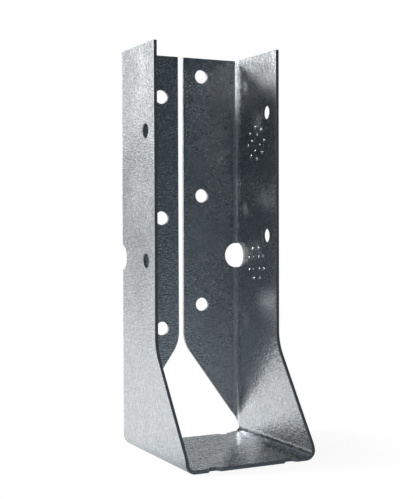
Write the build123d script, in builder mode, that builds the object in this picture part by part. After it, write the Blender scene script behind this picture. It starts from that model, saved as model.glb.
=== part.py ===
from build123d import *
from math import acos, cos, pi, sin
import os

# Joist hanger with hidden flanges, folded from one blank of galvanised sheet steel.
# X runs across the joist, +Y points at the carrying beam and Z is up.
# The origin is the middle of the underside. Sizes are in millimetres.

# Sheet and folds
sheet = 1.1                   # thickness of the sheet
flange_fold = 1.4             # inside radius of the upright folds at the beam
seat_fold = 1.9               # inside radius of the folds beside the seat
edge_round = 0.2              # rounding that the shears leave on the outline
smooth_angle = 30             # faces that meet at less than this, in degrees, run on smoothly

# Pocket for the joist
joist_room = 39.4             # clear width between the cheeks
height = 121.2                # underside to the top of the cheeks
cheek_depth = 26.4            # beam face to the upright front edges of the cheeks
seat_depth = 46.8             # beam face to the front edge of the seat

# Flare of the cheeks towards the seat
flare_top = 31.9              # height where the flare leaves the upright edge
flare_toe = 3.4               # height where it reaches the front of the seat
flare_top_round = 12.0        # hollow radius at its top
flare_toe_round = 6.0         # radius at its toe

# Flanges and the opening below them
slit_width = 1.8              # gap between the two flanges
slit_shift = -0.3             # how far the gap lies off the middle
tip_margin = 4.7              # lowest left nail hole to where the slanted cut would meet the gap
flange_heel = 2.1             # height where the slanted cut leaves the cheeks
flange_tip_round = 11.0       # radius between the gap and the slanted cut

# Back edge of the seat
seat_setback = 5.5            # beam face to the middle of the back edge
heel_setback = 3.6            # beam face to the back edge beside the seat folds
heel_slant = 3.9              # width over which the edge runs from one to the other

# Shallow notches in the front and back edges of the seat
notch_width = 4.2             # of the two in the front edge
back_notch_width = 3.8        # of the two in the back edge
back_notch_offset = 11.7      # middle of the hanger to the back notches
notch_depth = 1.6
notch_end_angle = 55          # slope of the ends of a notch in degrees
notch_left = -11.8            # middle of the front notch on the left
notch_right = 12.5            # middle of the front notch on the right

# Nail holes
nail_hole = 4.3               # diameter
top_margin = 5.75             # top edge to the highest hole
upper_pitch = 38.1            # first to second hole of a flange
lower_pitch = 34.9            # second to third hole of a flange
side_stagger = 7.15           # the left holes sit this much lower than the right ones
flange_hole_offset = 7.0      # middle of the hanger to the flange holes
cheek_hole_drop = 12.7        # a cheek hole sits this much below its flange hole
cheek_hole_setback = 20.0     # beam face to the cheek holes

# Round holes punched across the upright folds
fold_hole = 7.9               # diameter
fold_hole_height = 58.1
fold_hole_inset = 1.5         # outside of a cheek, or the beam face, to the centre

# Two rings of pips pressed through the right cheek, the inner pips smaller than the outer ones
pip_height = 0.4              # how far a pip stands in from the cheek
pip_width = 1.3
inner_pip_height = 0.3
inner_pip_width = 0.9
dent_width = 0.8              # the dent behind each pip, and how deep it is
dent_depth = 0.4
pip_sides = 8                 # facets round a pip
pip_slope = 35                # slope of their sides in degrees
ring_radius = 5.05
inner_ring_radius = 2.6
ring_setback = 13.9           # beam face to the middle of the rings
upper_ring_drop = 8.95        # a ring's middle sits this much below its cheek hole
lower_ring_drop = 8.65
upper_ring_turn = 6.0         # turn of each outer ring in degrees
lower_ring_turn = -18.0
inner_ring_lag = 22.5         # an inner ring is turned this much less
ring_count = 8
inner_ring_count = 4

# Worked out from the sizes above
half_room = joist_room / 2
half_width = half_room + sheet
beam_face = seat_depth / 2
seat_front = -seat_depth / 2
seat_back = beam_face - seat_setback
cheek_front = beam_face - cheek_depth
flange_fold_outside = flange_fold + sheet
seat_fold_outside = seat_fold + sheet
seat_flat = half_width - seat_fold_outside
slit_left = slit_shift - slit_width / 2
slit_right = slit_shift + slit_width / 2
past = 2 * sheet              # how far each cut runs past the sheet

# Heights of the nail holes in the flanges and of those in the cheeks, and of the rings below them
right_nails = [
    height - top_margin,
    height - top_margin - upper_pitch,
    height - top_margin - upper_pitch - lower_pitch,
]
left_nails = [z - side_stagger for z in right_nails]
right_cheek_nails = [z - cheek_hole_drop for z in right_nails[:2]]
left_cheek_nails = [z - cheek_hole_drop for z in left_nails[:2]]
upper_ring_height = right_cheek_nails[0] - upper_ring_drop
lower_ring_height = right_cheek_nails[1] - lower_ring_drop

# The slanted cut is straight in the flat blank, so it drops on its way round the upright fold
flange_tip = left_nails[-1] - tip_margin
fold_length = pi / 2 * (flange_fold + sheet / 2)
flange_flat = half_room - flange_fold - slit_width / 2
fold_drop = (flange_tip - flange_heel) * fold_length / (flange_flat + fold_length)
fold_centre = half_room - flange_fold

# It leaves the upright fold low down beside the seat, and reaches the flat of the seat further in
heel_turn = acos(1 - flange_heel / seat_fold_outside)
heel_run = heel_setback - flange_fold_outside
fold_steps = 4                # slices that a cut takes on its way round a fold


# The space that the sheet wraps: its front view, then its plan view
with BuildPart() as pocket:
    with BuildSketch(Plane.XZ.offset(-beam_face)):
        with Locations((0, sheet)):
            front_view = Rectangle(joist_room, height, align=(Align.CENTER, Align.MIN))
        fillet(front_view.vertices().group_by(Axis.Y)[0], radius=seat_fold)
    extrude(amount=seat_depth + past)
    with BuildSketch():
        with Locations((0, beam_face - sheet)):
            plan_view = Rectangle(joist_room, seat_depth + past, align=(Align.CENTER, Align.MAX))
        fillet(plan_view.vertices().group_by(Axis.Y)[-1], radius=flange_fold)
    extrude(amount=height + past, mode=Mode.INTERSECT)


# What the slanted cut takes out of the two upright folds: upright slices on their way round
# the fold's axis, from the cheek to the flange, each a little higher than the last
with BuildPart() as fold_cut:
    for step in range(fold_steps + 1):
        turn = pi / 2 * step / fold_steps
        rise = fold_drop * step / fold_steps
        slice_plane = Plane(
            origin=(fold_centre, beam_face - flange_fold_outside, flange_heel + rise),
            x_dir=(cos(turn), sin(turn), 0),
            z_dir=(-sin(turn), cos(turn), 0),
        )
        with BuildSketch(slice_plane):
            with Locations((flange_fold / 2, 0)):
                Rectangle(flange_fold / 2 + past, flange_tip / 2, align=(Align.MIN, Align.MIN))
    loft()
    mirror(about=Plane.YZ)


# What it takes out of the folds beside the seat, in the same way from the seat to the cheek
with BuildPart() as heel_cut:
    for step in range(fold_steps + 1):
        turn = heel_turn * step / fold_steps
        run = heel_run * step / fold_steps
        slice_plane = Plane(
            origin=(seat_flat, beam_face - heel_setback + run, seat_fold_outside),
            x_dir=(sin(turn), 0, -cos(turn)),
            z_dir=(cos(turn), 0, sin(turn)),
        )
        with BuildSketch(slice_plane):
            with Locations((seat_fold / 2, 0)):
                Rectangle(seat_fold / 2 + past, heel_setback + past, align=(Align.MIN, Align.MIN))
    loft()
    mirror(about=Plane.YZ)


def outline(shape):
    """The edges that the shears round: the outline of the blank, without the beam's side of the gap,
    which keeps its burr, and without what the wound cut takes off."""
    rims = [(face, face.edges()) for face in shape.faces()]
    found = ShapeList()
    for edge in shape.edges():
        middle = edge @ 0.5
        sides = [face for face, rim in rims if any(edge.is_same(other) for other in rim)]
        if sides[0].normal_at(middle).get_angle(sides[-1].normal_at(middle)) < smooth_angle:
            continue
        beside_fold = abs(middle.X) > seat_flat - edge_round and middle.Y > seat_back
        taken_off = beside_fold and middle.Z < flange_heel + fold_drop + edge_round
        burr = middle.Y > beam_face - edge_round and middle.Z < height - edge_round
        if not taken_off and not burr:
            found.append(edge)
    return found


with BuildPart() as hanger:
    # Front view of the outside, with the folds beside the seat
    with BuildSketch(Plane.XZ.offset(-beam_face)):
        front_view = Rectangle(2 * half_width, height, align=(Align.CENTER, Align.MIN))
        fillet(front_view.vertices().group_by(Axis.Y)[0], radius=seat_fold_outside)
    extrude(amount=seat_depth)

    # Plan view of the outside, with the upright folds at the beam
    with BuildSketch():
        with Locations((0, beam_face)):
            plan_view = Rectangle(2 * half_width, seat_depth, align=(Align.CENTER, Align.MAX))
        fillet(plan_view.vertices().group_by(Axis.Y)[-1], radius=flange_fold_outside)
    extrude(amount=height, mode=Mode.INTERSECT)

    # One sheet thickness is left round the pocket
    add(pocket.part, mode=Mode.SUBTRACT)

    # Side view: upright front edges that flare out to the full depth of the seat
    with BuildSketch(Plane.YZ):
        with BuildLine():
            FilletPolyline(
                (beam_face, 0),
                (seat_front, 0),
                (seat_front, flare_toe),
                (cheek_front, flare_top),
                (cheek_front, height),
                (beam_face, height),
                radius=(0, 0, flare_toe_round, flare_top_round, 0, 0),
                close=True,
            )
        make_face()
    extrude(amount=half_width, both=True, mode=Mode.INTERSECT)

    # Back edge of the seat, wound round the folds beside it
    add(heel_cut.part, mode=Mode.SUBTRACT)
    with BuildSketch():
        with BuildLine():
            Polyline(
                (seat_flat, beam_face - heel_setback),
                (seat_flat - heel_slant, seat_back),
                (heel_slant - seat_flat, seat_back),
                (-seat_flat, beam_face - heel_setback),
                (-seat_flat, beam_face),
                (seat_flat, beam_face),
                close=True,
            )
        make_face()
    extrude(amount=sheet, mode=Mode.SUBTRACT)

    # The gap between the flanges, opening out below them along the slanted cuts
    with BuildSketch(Plane.XZ.offset(-beam_face)):
        with BuildLine():
            FilletPolyline(
                (slit_left, height + past),
                (slit_left, flange_tip),
                (-fold_centre, flange_heel + fold_drop),
                (-fold_centre, -past),
                (fold_centre, -past),
                (fold_centre, flange_heel + fold_drop),
                (slit_right, flange_tip),
                (slit_right, height + past),
                radius=(0, flange_tip_round, 0, 0, 0, 0, flange_tip_round, 0),
                close=True,
            )
        make_face()
    extrude(amount=flange_fold_outside, mode=Mode.SUBTRACT)

    # The shears leave the whole outline a little round
    fillet(outline(hanger.part), radius=edge_round)

    # Round the upright folds the slanted cut is wound
    add(fold_cut.part, mode=Mode.SUBTRACT)

    # Pips pressed through the right cheek, each with its dent behind: both taper towards the pocket
    for ring_height, first in ((upper_ring_height, upper_ring_turn), (lower_ring_height, lower_ring_turn)):
        inner = first - inner_ring_lag
        for radius, count, turn, width, rise in (
            (ring_radius, ring_count, first, pip_width, pip_height),
            (inner_ring_radius, inner_ring_count, inner, inner_pip_width, inner_pip_height),
        ):
            with BuildSketch(Plane.ZY.offset(-half_room)):
                with Locations((ring_height, beam_face - ring_setback)):
                    with PolarLocations(radius, count, turn):
                        RegularPolygon(width / 2, pip_sides)
            extrude(amount=rise, taper=pip_slope)
            with BuildSketch(Plane.ZY.offset(-half_width)):
                with Locations((ring_height, beam_face - ring_setback)):
                    with PolarLocations(radius, count, turn):
                        RegularPolygon(dent_width / 2, pip_sides)
            extrude(amount=dent_depth, taper=pip_slope, mode=Mode.SUBTRACT)

    # Notches in the front and back edges of the seat
    with BuildSketch():
        with Locations((notch_left, seat_front), (notch_right, seat_front)):
            Trapezoid(notch_width, notch_depth, notch_end_angle, align=(Align.CENTER, Align.MIN))
        with Locations((-back_notch_offset, seat_back), (back_notch_offset, seat_back)):
            Trapezoid(
                back_notch_width, notch_depth, notch_end_angle, rotation=180, align=(Align.CENTER, Align.MIN)
            )
    extrude(amount=sheet, mode=Mode.SUBTRACT)

    # Nail holes in the flanges
    with BuildSketch(Plane.XZ.offset(-beam_face)):
        with Locations(*[(flange_hole_offset, z) for z in right_nails]):
            Circle(nail_hole / 2)
        with Locations(*[(-flange_hole_offset, z) for z in left_nails]):
            Circle(nail_hole / 2)
    extrude(amount=sheet, mode=Mode.SUBTRACT)

    # Nail holes in the cheeks, two on each side
    with BuildSketch(Plane.YZ.offset(half_width)):
        with Locations(*[(beam_face - cheek_hole_setback, z) for z in right_cheek_nails]):
            Circle(nail_hole / 2)
    extrude(amount=-sheet, mode=Mode.SUBTRACT)
    with BuildSketch(Plane.YZ.offset(-half_width)):
        with Locations(*[(beam_face - cheek_hole_setback, z) for z in left_cheek_nails]):
            Circle(nail_hole / 2)
    extrude(amount=sheet, mode=Mode.SUBTRACT)

    # The punch leaves the rims of the nail holes blunt
    rims = hanger.edges().filter_by(lambda edge: edge.is_closed)
    chamfer(rims, length=edge_round)

    # Fold holes, seen as part rounds from the side and from the front
    for side in (Plane.YZ.offset(fold_centre), Plane.YZ.offset(-half_width)):
        with BuildSketch(side):
            with Locations((beam_face - fold_hole_inset, fold_hole_height)):
                Circle(fold_hole / 2)
        extrude(amount=flange_fold_outside, mode=Mode.SUBTRACT)
    with BuildSketch(Plane.XZ.offset(-beam_face)):
        with Locations((half_width - fold_hole_inset, fold_hole_height),
                       (fold_hole_inset - half_width, fold_hole_height)):
            Circle(fold_hole / 2)
    extrude(amount=flange_fold_outside, mode=Mode.SUBTRACT)


hanger.part.label = "hanger"
os.makedirs("parts", exist_ok=True)
export_step(hanger.part, "parts/hanger.step")
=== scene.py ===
import math

import bmesh
import bpy
from mathutils import Matrix, Vector


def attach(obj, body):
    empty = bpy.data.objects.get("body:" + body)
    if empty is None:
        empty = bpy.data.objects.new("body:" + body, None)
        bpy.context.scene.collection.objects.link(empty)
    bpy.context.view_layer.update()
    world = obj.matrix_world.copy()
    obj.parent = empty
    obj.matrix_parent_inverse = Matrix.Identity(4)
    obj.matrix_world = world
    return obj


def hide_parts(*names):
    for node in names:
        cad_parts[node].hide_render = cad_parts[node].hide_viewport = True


# Looks of the joist hanger: galvanised sheet with sheared edges, on a pale floor.
# Everything is in metres, in the frame of the solids: +Z up, +Y towards the beam.

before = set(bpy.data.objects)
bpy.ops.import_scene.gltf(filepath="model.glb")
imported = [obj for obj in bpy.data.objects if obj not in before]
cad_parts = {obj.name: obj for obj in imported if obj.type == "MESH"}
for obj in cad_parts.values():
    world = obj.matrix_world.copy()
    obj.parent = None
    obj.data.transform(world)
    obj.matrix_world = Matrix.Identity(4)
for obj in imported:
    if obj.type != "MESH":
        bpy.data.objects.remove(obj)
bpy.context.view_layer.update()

MM = 0.001


def linear(code):
    """A colour written as an sRGB hex value, as the linear values that the shaders take."""
    values = [int(code[i:i + 2], 16) / 255 for i in (1, 3, 5)]
    return [v / 12.92 if v <= 0.04045 else ((v + 0.055) / 1.055) ** 2.4 for v in values] + [1.0]


def node(tree, kind, settings=None, inputs=None):
    """Adds a node, sets its settings, and fills or links its inputs."""
    made = tree.nodes.new(kind)
    for name, value in (settings or {}).items():
        setattr(made, name, value)
    for name, value in (inputs or {}).items():
        if isinstance(value, bpy.types.NodeSocket):
            tree.links.new(value, made.inputs[name])
        else:
            made.inputs[name].default_value = value
    return made


def per_metre(size):
    """The scale of a pattern whose grains have a size in millimetres."""
    return 1 / (size * MM)


def material(name):
    """A new material with an empty node tree."""
    made = bpy.data.materials.new(name)
    made.use_nodes = True
    made.node_tree.nodes.clear()
    return made, made.node_tree


# Grains of the zinc, in millimetres: crystals of about 0.7, a peel of about 1.2 by 0.5, scratches of
# about 0.4 by 2, and clouds of about 12. The peel and the scratches are given in X, Y and Z
CRYSTAL = 0.6667
PEEL = (1.1765, 1.1765, 0.5)
SCRATCH = (0.4348, 0.4348, 2.083)
SCRATCH_TURN = 0.45            # in radians
CLOUD = 11.76
CRYSTAL_TILT = 0.05            # spread of the ways that the crystals face, as a slope
CRYSTAL_GLOSS = 0.06           # how much rougher the dullest crystal is than the brightest

# Torn grain of a cut edge: about 0.1 mm on a real one, and drawn coarser so that it shows
TORN_GRAIN = 0.4167
TORN_DEPTH = 0.02


def galvanised_sheet(name, smoothest, roughest, peel_depth):
    """Steel sheet run through molten zinc and lightly rolled: a satin skin with a fine grain.

    Its clouds run from smoothest to roughest, and its peel is peel_depth high.
    """
    made, tree = material(name)
    place = node(tree, "ShaderNodeTexCoord").outputs["Object"]
    # Small zinc crystals, each with its own slight tilt and its own gloss
    spangle = node(tree, "ShaderNodeTexVoronoi", {"feature": "F1"}, {
        "Vector": place, "Scale": per_metre(CRYSTAL)})
    # Orange peel that the rolling leaves, longer across the strip than along it
    rolled = node(tree, "ShaderNodeMapping", inputs={
        "Vector": place, "Scale": [per_metre(size) for size in PEEL]})
    peel = node(tree, "ShaderNodeTexNoise", inputs={
        "Vector": rolled.outputs["Vector"], "Scale": 1.0, "Detail": 1.0, "Roughness": 0.5})
    # Broad clouds where the zinc froze faster or slower
    cloud = node(tree, "ShaderNodeTexNoise", inputs={
        "Vector": place, "Scale": per_metre(CLOUD), "Detail": 2.0, "Roughness": 0.5})
    # Short slanting scratches, drawn in by the rolls
    slant = node(tree, "ShaderNodeMapping", inputs={
        "Vector": place, "Rotation": (SCRATCH_TURN, SCRATCH_TURN, 0.0),
        "Scale": [per_metre(size) for size in SCRATCH]})
    scratch = node(tree, "ShaderNodeTexNoise", inputs={
        "Vector": slant.outputs["Vector"], "Scale": 1.0, "Detail": 1.0, "Roughness": 0.5})
    scratch_mask = node(tree, "ShaderNodeMapRange", {"interpolation_type": "SMOOTHSTEP"}, {
        "Value": scratch.outputs["Fac"], "From Min": 0.54, "From Max": 0.72, "To Min": 0.0, "To Max": 1.0})

    # Colour: pale blue-grey zinc, a little different from crystal to crystal, duller in scratches
    crystal = node(tree, "ShaderNodeSeparateColor", inputs={"Color": spangle.outputs["Color"]})
    tone = node(tree, "ShaderNodeMix", {"data_type": "RGBA"}, {
        "Factor": crystal.outputs["Red"], "A": linear("#CFD3D6"), "B": linear("#ECEEF0")})
    duller = node(tree, "ShaderNodeMix", {"data_type": "RGBA"}, {
        "Factor": scratch_mask.outputs["Result"], "A": tone.outputs["Result"], "B": linear("#C9CED2")})

    # Roughness: satin, varying with the clouds and the crystals
    clouded = node(tree, "ShaderNodeMapRange", inputs={
        "Value": cloud.outputs["Fac"], "From Min": 0.3, "From Max": 0.7,
        "To Min": smoothest, "To Max": roughest})
    varied = node(tree, "ShaderNodeMath", {"operation": "MULTIPLY_ADD"}, {
        0: crystal.outputs["Green"], 1: CRYSTAL_GLOSS, 2: clouded.outputs["Result"]})

    # Tilt of the crystals, then the peel as bump over it
    skin = node(tree, "ShaderNodeNewGeometry").outputs["Normal"]
    centred = node(tree, "ShaderNodeVectorMath", {"operation": "SUBTRACT"}, {
        0: spangle.outputs["Color"], 1: (0.5, 0.5, 0.5)})
    tilt = node(tree, "ShaderNodeVectorMath", {"operation": "MULTIPLY_ADD"}, {
        0: centred.outputs["Vector"], 1: (CRYSTAL_TILT, CRYSTAL_TILT, CRYSTAL_TILT), 2: skin})
    tilted = node(tree, "ShaderNodeVectorMath", {"operation": "NORMALIZE"}, {0: tilt.outputs["Vector"]})
    bump = node(tree, "ShaderNodeBump", inputs={
        "Strength": 1.0, "Distance": peel_depth, "Height": peel.outputs["Fac"],
        "Normal": tilted.outputs["Vector"]})

    zinc = node(tree, "ShaderNodeBsdfPrincipled", inputs={
        "Base Color": duller.outputs["Result"], "Metallic": 1.0,
        "Roughness": varied.outputs["Value"], "Normal": bump.outputs["Normal"]})
    node(tree, "ShaderNodeOutputMaterial", inputs={"Surface": zinc.outputs["BSDF"]})
    return made


def sheared_edge():
    """The cut edge of the sheet: bare steel torn by the shears, darker and rougher than the zinc."""
    made, tree = material("sheared_steel_edge")
    place = node(tree, "ShaderNodeTexCoord").outputs["Object"]
    tear = node(tree, "ShaderNodeTexNoise", inputs={
        "Vector": place, "Scale": per_metre(TORN_GRAIN), "Detail": 3.0, "Roughness": 0.65})
    tone = node(tree, "ShaderNodeMix", {"data_type": "RGBA"}, {
        "Factor": tear.outputs["Fac"], "A": linear("#6E7378"), "B": linear("#9FA4A8")})
    dull = node(tree, "ShaderNodeMapRange", inputs={
        "Value": tear.outputs["Fac"], "From Min": 0.3, "From Max": 0.7, "To Min": 0.74, "To Max": 0.64})
    bump = node(tree, "ShaderNodeBump", inputs={
        "Strength": 0.3, "Distance": TORN_DEPTH * MM, "Height": tear.outputs["Fac"]})
    steel = node(tree, "ShaderNodeBsdfPrincipled", inputs={
        "Base Color": tone.outputs["Result"], "Metallic": 1.0,
        "Roughness": dull.outputs["Result"], "Normal": bump.outputs["Normal"]})
    node(tree, "ShaderNodeOutputMaterial", inputs={"Surface": steel.outputs["BSDF"]})
    return made


# Sizes of the sheet, in millimetres, as the solids have them
HALF_WIDTH = 20.8
SHEET = 1.1
BEAM_FACE = 23.4
FLANGE_FOLD = (18.3, 20.9)     # axis of the right upright fold in X and Y
SEAT_FOLD = (17.8, 3.0)        # axis of the fold right of the seat in X and Z
RINGS_FROM = 40                # the pips stand above this height
CLEAR_OF_CHEEK = 0.05          # a corner this far inside the cheek's skin is a pip's own
PIP_SIDE = math.sin(math.radians(35))

# Kinds of face, as the piece numbers its materials
SKIN, CUT_EDGE, UPRIGHT_FOLD = 0, 1, 2

# How nearly a face has to point along the sheet's own normal to be skin, in a fold and in a flat
IN_FOLD = 0.97
IN_FLAT = 0.99
PIP_SPREAD = 0.02              # the same for the sides of the pips

# Corners of the loose triangles nearer than this, in millimetres, are one
ONE_CORNER = 0.002

# Angles in degrees: flats are joined below the first, and edges stay crisp above the others
ONE_FLAT = 0.4
CRISP = 42
CRISP_ON_PIP = 65


def kind_of(centre, normal):
    """The kind of a face, from where its middle lies and which way it points."""
    x, y, z = abs(centre.x) / MM, centre.y / MM, centre.z / MM
    outward = Vector((math.copysign(normal.x, normal.x * centre.x), normal.y, normal.z))
    if x > FLANGE_FOLD[0] and y > FLANGE_FOLD[1]:
        spoke = Vector((x - FLANGE_FOLD[0], y - FLANGE_FOLD[1], 0.0)).normalized()
        return UPRIGHT_FOLD if abs(outward.dot(spoke)) > IN_FOLD else CUT_EDGE
    if x > SEAT_FOLD[0] and z < SEAT_FOLD[1]:
        spoke = Vector((x - SEAT_FOLD[0], 0.0, z - SEAT_FOLD[1])).normalized()
        return SKIN if abs(outward.dot(spoke)) > IN_FOLD else CUT_EDGE
    if x > HALF_WIDTH - 2 * SHEET:
        across = abs(normal.x)
        return SKIN if across > IN_FLAT or abs(across - PIP_SIDE) < PIP_SPREAD else CUT_EDGE
    if y > BEAM_FACE - 1.5 * SHEET and z > SEAT_FOLD[1]:
        return SKIN if abs(normal.y) > IN_FLAT else CUT_EDGE
    return SKIN if abs(normal.z) > IN_FLAT and z < 1.5 * SHEET else CUT_EDGE


def on_pip(place):
    """Whether a point lies on a pip, clear of the cheek that carries it."""
    x, y, z = place / MM
    stands_in = HALF_WIDTH - 2 * SHEET < x < HALF_WIDTH - SHEET - CLEAR_OF_CHEEK
    return stands_in and y < FLANGE_FOLD[1] and z > RINGS_FROM


def folded_sheet():
    """The sheet as one clean skin: merged, its flats joined, smooth round folds, edges and pips."""
    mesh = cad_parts["hanger"].data.copy()
    mesh.materials.clear()
    skin = bmesh.new()
    skin.from_mesh(mesh)
    bmesh.ops.remove_doubles(skin, verts=skin.verts, dist=ONE_CORNER * MM)
    bmesh.ops.dissolve_limit(
        skin, angle_limit=math.radians(ONE_FLAT), verts=skin.verts, edges=skin.edges,
        use_dissolve_boundaries=False, delimit=set())
    for edge in skin.edges:
        limit = CRISP_ON_PIP if all(on_pip(corner.co) for corner in edge.verts) else CRISP
        edge.smooth = edge.calc_face_angle(0.0) < math.radians(limit)
    for face in skin.faces:
        face.smooth = True
        face.material_index = kind_of(face.calc_center_median(), face.normal)
    skin.to_mesh(mesh)
    skin.free()
    piece = bpy.data.objects.new("folded_sheet", mesh)
    bpy.context.scene.collection.objects.link(piece)
    mesh.materials.append(galvanised_sheet(
        "galvanised_sheet_hot_dip_zinc", smoothest=0.2, roughest=0.24, peel_depth=0.1 * MM))
    mesh.materials.append(sheared_edge())
    # Bending crazes the zinc, so the upright folds are a little duller and spread the light wider
    mesh.materials.append(galvanised_sheet(
        "zinc_crazed_by_bending", smoothest=0.3, roughest=0.36, peel_depth=0.05 * MM))
    # The flats keep one direction up to their rims, and the folds turn evenly between them
    even = piece.modifiers.new("even_shading", "WEIGHTED_NORMAL")
    even.mode = "FACE_AREA"
    even.weight = 100
    even.keep_sharp = True
    return piece


sheet = folded_sheet()
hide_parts("hanger")
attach(sheet, "root")


# Floor: a pale matt card, white for the camera but for a faint shadow close to the hanger. In the
# metal it shows a painted glow in place of its lit face, as a studio lit from behind would give: bright
# behind the hanger and dim before it.
# Levels are shares of white, and distances are in metres from the hanger
FLOOR_SIZE = 4.0
WHITE_SHARE = (0.92, 1.0)       # of what the camera sees near the hanger and away from it
SHADOW_ENDS = (0.02, 0.07)
BEHIND = (-0.45, 0.89, 0.0)     # the way from the hanger to the bright floor: back, and to the left
TURN_TO_BRIGHT = (-0.06, 0.05)  # how far that way the floor turns from dim to bright
# Levels of the painted glow that the metal sees in the floor, before and behind the hanger
FRONT_GLOW_LEVELS = (0.33, 0.15)
FRONT_REACH = (0.06, 0.35)
BACK_GLOW_LEVELS = (0.85, 0.44)
BACK_REACH = (0.15, 1.2)


def floor_card():
    """Rolled paper card: matt and nearly white, painted with a glow that the metal mirrors."""
    made, tree = material("pale_studio_card_with_painted_glow")
    place = node(tree, "ShaderNodeTexCoord").outputs["Object"]
    paths = node(tree, "ShaderNodeLightPath")
    away = node(tree, "ShaderNodeVectorMath", {"operation": "LENGTH"}, {0: place})
    behind = node(tree, "ShaderNodeVectorMath", {"operation": "DOT_PRODUCT"}, {
        0: place, 1: BEHIND})

    # For the camera: the card with its shadow, mostly covered by white
    card = node(tree, "ShaderNodeBsdfDiffuse", inputs={"Color": linear("#F4F4F4")})
    white = node(tree, "ShaderNodeEmission", inputs={"Color": (1.0, 1.0, 1.0, 1.0), "Strength": 1.0})
    share = node(tree, "ShaderNodeMapRange", {"interpolation_type": "SMOOTHSTEP"}, {
        "Value": away.outputs["Value"], "From Min": SHADOW_ENDS[0], "From Max": SHADOW_ENDS[1],
        "To Min": WHITE_SHARE[0], "To Max": WHITE_SHARE[1]})
    seen = node(tree, "ShaderNodeMath", {"operation": "MULTIPLY"}, {
        0: paths.outputs["Is Camera Ray"], 1: share.outputs["Result"]})

    # For the metal: painted light, a glow brighter and whiter behind the hanger than before it, by the way
    # out from it
    front = node(tree, "ShaderNodeMapRange", inputs={
        "Value": away.outputs["Value"], "From Min": FRONT_REACH[0], "From Max": FRONT_REACH[1],
        "To Min": FRONT_GLOW_LEVELS[0], "To Max": FRONT_GLOW_LEVELS[1]})
    side = node(tree, "ShaderNodeMapRange", {"interpolation_type": "SMOOTHSTEP"}, {
        "Value": behind.outputs["Value"], "From Min": TURN_TO_BRIGHT[0], "From Max": TURN_TO_BRIGHT[1],
        "To Min": 0.0, "To Max": 1.0})
    back = node(tree, "ShaderNodeMapRange", inputs={
        "Value": away.outputs["Value"], "From Min": BACK_REACH[0], "From Max": BACK_REACH[1],
        "To Min": BACK_GLOW_LEVELS[0], "To Max": BACK_GLOW_LEVELS[1]})
    level = node(tree, "ShaderNodeMix", {"data_type": "FLOAT"}, {
        "Factor": side.outputs["Result"], "A": front.outputs["Result"], "B": back.outputs["Result"]})
    painted_glow_tint = node(tree, "ShaderNodeMix", {"data_type": "RGBA"}, {
        "Factor": side.outputs["Result"], "A": linear("#D6E4EE"), "B": linear("#F9FAFB")})
    painted_floor_glow = node(tree, "ShaderNodeEmission", inputs={
        "Color": painted_glow_tint.outputs["Result"], "Strength": level.outputs["Result"]})
    # Glossy rays see the painted glow in place of the lit card
    card_or_painted_glow = node(tree, "ShaderNodeMixShader", inputs={
        0: paths.outputs["Is Glossy Ray"], 1: card.outputs["BSDF"], 2: painted_floor_glow.outputs["Emission"]})
    mixed = node(tree, "ShaderNodeMixShader", inputs={
        0: seen.outputs["Value"], 1: card_or_painted_glow.outputs["Shader"], 2: white.outputs["Emission"]})
    node(tree, "ShaderNodeOutputMaterial", inputs={"Surface": mixed.outputs["Shader"]})
    return made


ground = bmesh.new()
bmesh.ops.create_grid(ground, x_segments=1, y_segments=1, size=FLOOR_SIZE)
floor_mesh = bpy.data.meshes.new("floor")
ground.to_mesh(floor_mesh)
ground.free()
floor_mesh.materials.append(floor_card())
floor = bpy.data.objects.new("floor", floor_mesh)
bpy.context.scene.collection.objects.link(floor)


# Studio round the hanger: a bright wall behind it, up to about 8 degrees on the left and 14 on the
# right, dark above the wall and on the camera's side, darkest on the left, with a grey ceiling over
# the camera. The camera itself sees plain white. Levels are shares of white, and heights are the
# sine of the angle over the horizon
WALL_MIDDLE = (-0.30, 0.954, 0.0)      # the way to the middle of the wall
WALL_ENDS = (0.45, 0.8)                # the cosine from its middle where it starts and is full
WALL_RISE = (0.03, 0.15)               # heights between which it turns from dim to bright
WALL_LEVELS = (0.17, 0.87)
WALL_TOP = (0.196, 0.224)              # heights between which it ends
WALL_TOP_SLOPE = -0.08                 # its top lies this much lower for each step to the left
DARK_SPREAD = (-0.4, 0.4)              # from the left, where the dark is deepest, to the right
DARK_RISE = (0.0, 0.15)                # heights between which the dark on the right deepens
DARK_ABOVE = 0.15                      # share of the greyer tone left above
CEILING_LEAN = -0.5                    # how far the ceiling is drawn towards the camera's side
CEILING_EDGE = (0.7, 1.0)


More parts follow.
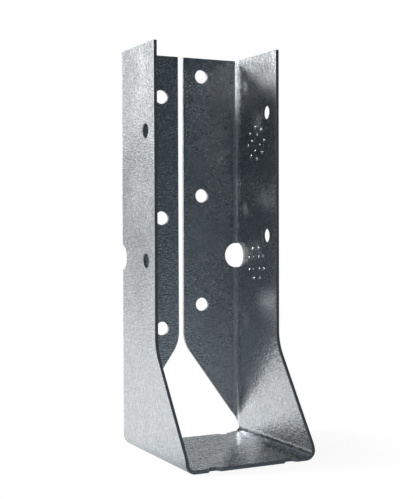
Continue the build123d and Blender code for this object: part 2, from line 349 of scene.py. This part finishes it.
def studio(world):
    """Gives a world the surround that the metal mirrors, by the way that a ray leaves."""
    world.use_nodes = True
    tree = world.node_tree
    tree.nodes.clear()
    way = node(tree, "ShaderNodeTexCoord").outputs["Generated"]
    parts = node(tree, "ShaderNodeSeparateXYZ", inputs={"Vector": way})

    # The wall: where it stands, how light it is from its foot up, and where it ends
    behind = node(tree, "ShaderNodeVectorMath", {"operation": "DOT_PRODUCT"}, {
        0: way, 1: WALL_MIDDLE})
    side = node(tree, "ShaderNodeMapRange", {"interpolation_type": "SMOOTHSTEP"}, {
        "Value": behind.outputs["Value"], "From Min": WALL_ENDS[0], "From Max": WALL_ENDS[1],
        "To Min": 0.0, "To Max": 1.0})
    wall = node(tree, "ShaderNodeMapRange", inputs={
        "Value": parts.outputs["Z"], "From Min": WALL_RISE[0], "From Max": WALL_RISE[1],
        "To Min": WALL_LEVELS[0], "To Max": WALL_LEVELS[1]})
    sloping = node(tree, "ShaderNodeMath", {"operation": "MULTIPLY_ADD"}, {
        0: parts.outputs["X"], 1: WALL_TOP_SLOPE, 2: parts.outputs["Z"]})
    under = node(tree, "ShaderNodeMapRange", {"interpolation_type": "SMOOTHSTEP"}, {
        "Value": sloping.outputs["Value"], "From Min": WALL_TOP[0], "From Max": WALL_TOP[1],
        "To Min": 1.0, "To Max": 0.0})
    lit = node(tree, "ShaderNodeMath", {"operation": "MULTIPLY"}, {
        0: wall.outputs["Result"], 1: under.outputs["Result"]})
    level = node(tree, "ShaderNodeMath", {"operation": "MULTIPLY"}, {
        0: lit.outputs["Value"], 1: side.outputs["Result"]})

    # The dark round it, greyer low down on the right
    across = node(tree, "ShaderNodeMapRange", inputs={
        "Value": parts.outputs["X"], "From Min": DARK_SPREAD[0], "From Max": DARK_SPREAD[1],
        "To Min": 0.0, "To Max": 1.0})
    low = node(tree, "ShaderNodeMapRange", inputs={
        "Value": parts.outputs["Z"], "From Min": DARK_RISE[0], "From Max": DARK_RISE[1],
        "To Min": 1.0, "To Max": DARK_ABOVE})
    greyer = node(tree, "ShaderNodeMath", {"operation": "MULTIPLY"}, {
        0: across.outputs["Result"], 1: low.outputs["Result"]})
    dark = node(tree, "ShaderNodeMix", {"data_type": "RGBA"}, {
        "Factor": greyer.outputs["Value"], "A": linear("#0D1216"), "B": linear("#42545F")})
    tone = node(tree, "ShaderNodeMix", {"data_type": "RGBA"}, {
        "Factor": level.outputs["Value"], "A": dark.outputs["Result"], "B": linear("#FAFBFB")})

    # The ceiling over the camera
    forward = node(tree, "ShaderNodeMath", {"operation": "MULTIPLY_ADD"}, {
        0: parts.outputs["Y"], 1: CEILING_LEAN, 2: parts.outputs["Z"]})
    overhead = node(tree, "ShaderNodeMapRange", {"interpolation_type": "SMOOTHSTEP"}, {
        "Value": forward.outputs["Value"], "From Min": CEILING_EDGE[0], "From Max": CEILING_EDGE[1],
        "To Min": 0.0, "To Max": 1.0})
    roofed = node(tree, "ShaderNodeMix", {"data_type": "RGBA"}, {
        "Factor": overhead.outputs["Result"], "A": tone.outputs["Result"], "B": linear("#878D92")})

    # Plain white for the camera and through clear pieces
    paths = node(tree, "ShaderNodeLightPath")
    seen = node(tree, "ShaderNodeMath", {"operation": "ADD", "use_clamp": True}, {
        0: paths.outputs["Is Camera Ray"], 1: paths.outputs["Is Transmission Ray"]})
    around = node(tree, "ShaderNodeBackground", inputs={"Color": roofed.outputs["Result"], "Strength": 1.0})
    white = node(tree, "ShaderNodeBackground", inputs={"Color": (1.0, 1.0, 1.0, 1.0), "Strength": 1.0})
    mixed = node(tree, "ShaderNodeMixShader", inputs={
        0: seen.outputs["Value"], 1: around.outputs["Background"], 2: white.outputs["Background"]})
    node(tree, "ShaderNodeOutputWorld", inputs={"Surface": mixed.outputs["Shader"]})


world = bpy.data.worlds.new("studio")
bpy.context.scene.world = world
studio(world)


def softbox(name, place, aim, width, power):
    """A round softbox at a place, turned towards a point."""
    light = bpy.data.lights.new(name, "AREA")
    light.shape = "DISK"
    light.size = width
    light.energy = power
    made = bpy.data.objects.new(name, light)
    made.location = place
    made.rotation_euler = (Vector(aim) - Vector(place)).to_track_quat("-Z", "Y").to_euler()
    bpy.context.scene.collection.objects.link(made)


# One shines from the front left over the left cheek on to the far fold, the other from the back left
# over the flanges on to the top of the right cheek, and through the opening on to the seat
softbox(
    "front_left_softbox", place=(-0.610, -0.270, 0.366), aim=(0.0, 0.0, 0.08), width=0.17, power=1.6)
softbox(
    "back_left_softbox", place=(-0.430, 0.235, 0.235), aim=(0.0, 0.0, 0.07), width=0.10, power=6.0)


# Camera as fitted to the photograph's outline: a lens of 74 mm at 0.31 m, turned 26.6 degrees left
AZIMUTH = math.radians(-26.632)
ELEVATION = math.radians(1.466)
ROLL = math.radians(-0.212)
DISTANCE = 307.316             # in millimetres, as the next three are
SHIFT_RIGHT = -3.02
SHIFT_UP = 0.714
AIM = Vector((0.0, -1.6, 60.0))
FOCAL = 1032.015               # in pixels of the picture, which is 499 high
PICTURE_HEIGHT = 499
SENSOR = 36
back = Vector((
    math.sin(AZIMUTH) * math.cos(ELEVATION), -math.cos(AZIMUTH) * math.cos(ELEVATION), math.sin(ELEVATION)))
level_right = (-back).cross(Vector((0, 0, 1))).normalized()
level_up = level_right.cross(-back)
right = level_right * math.cos(ROLL) + level_up * math.sin(ROLL)
up = level_up * math.cos(ROLL) - level_right * math.sin(ROLL)
lens = bpy.data.cameras.new("camera")
lens.lens = FOCAL / PICTURE_HEIGHT * SENSOR
lens.sensor_width = SENSOR
lens.clip_start = 0.01
camera = bpy.data.objects.new("camera", lens)
turn = Matrix((right, up, back)).transposed().to_4x4()
spot = AIM + back * DISTANCE + right * SHIFT_RIGHT + up * SHIFT_UP
camera.matrix_world = Matrix.Translation(spot * MM) @ turn
bpy.context.scene.collection.objects.link(camera)
bpy.context.scene.camera = camera

bpy.context.scene.view_settings.view_transform = "Standard"
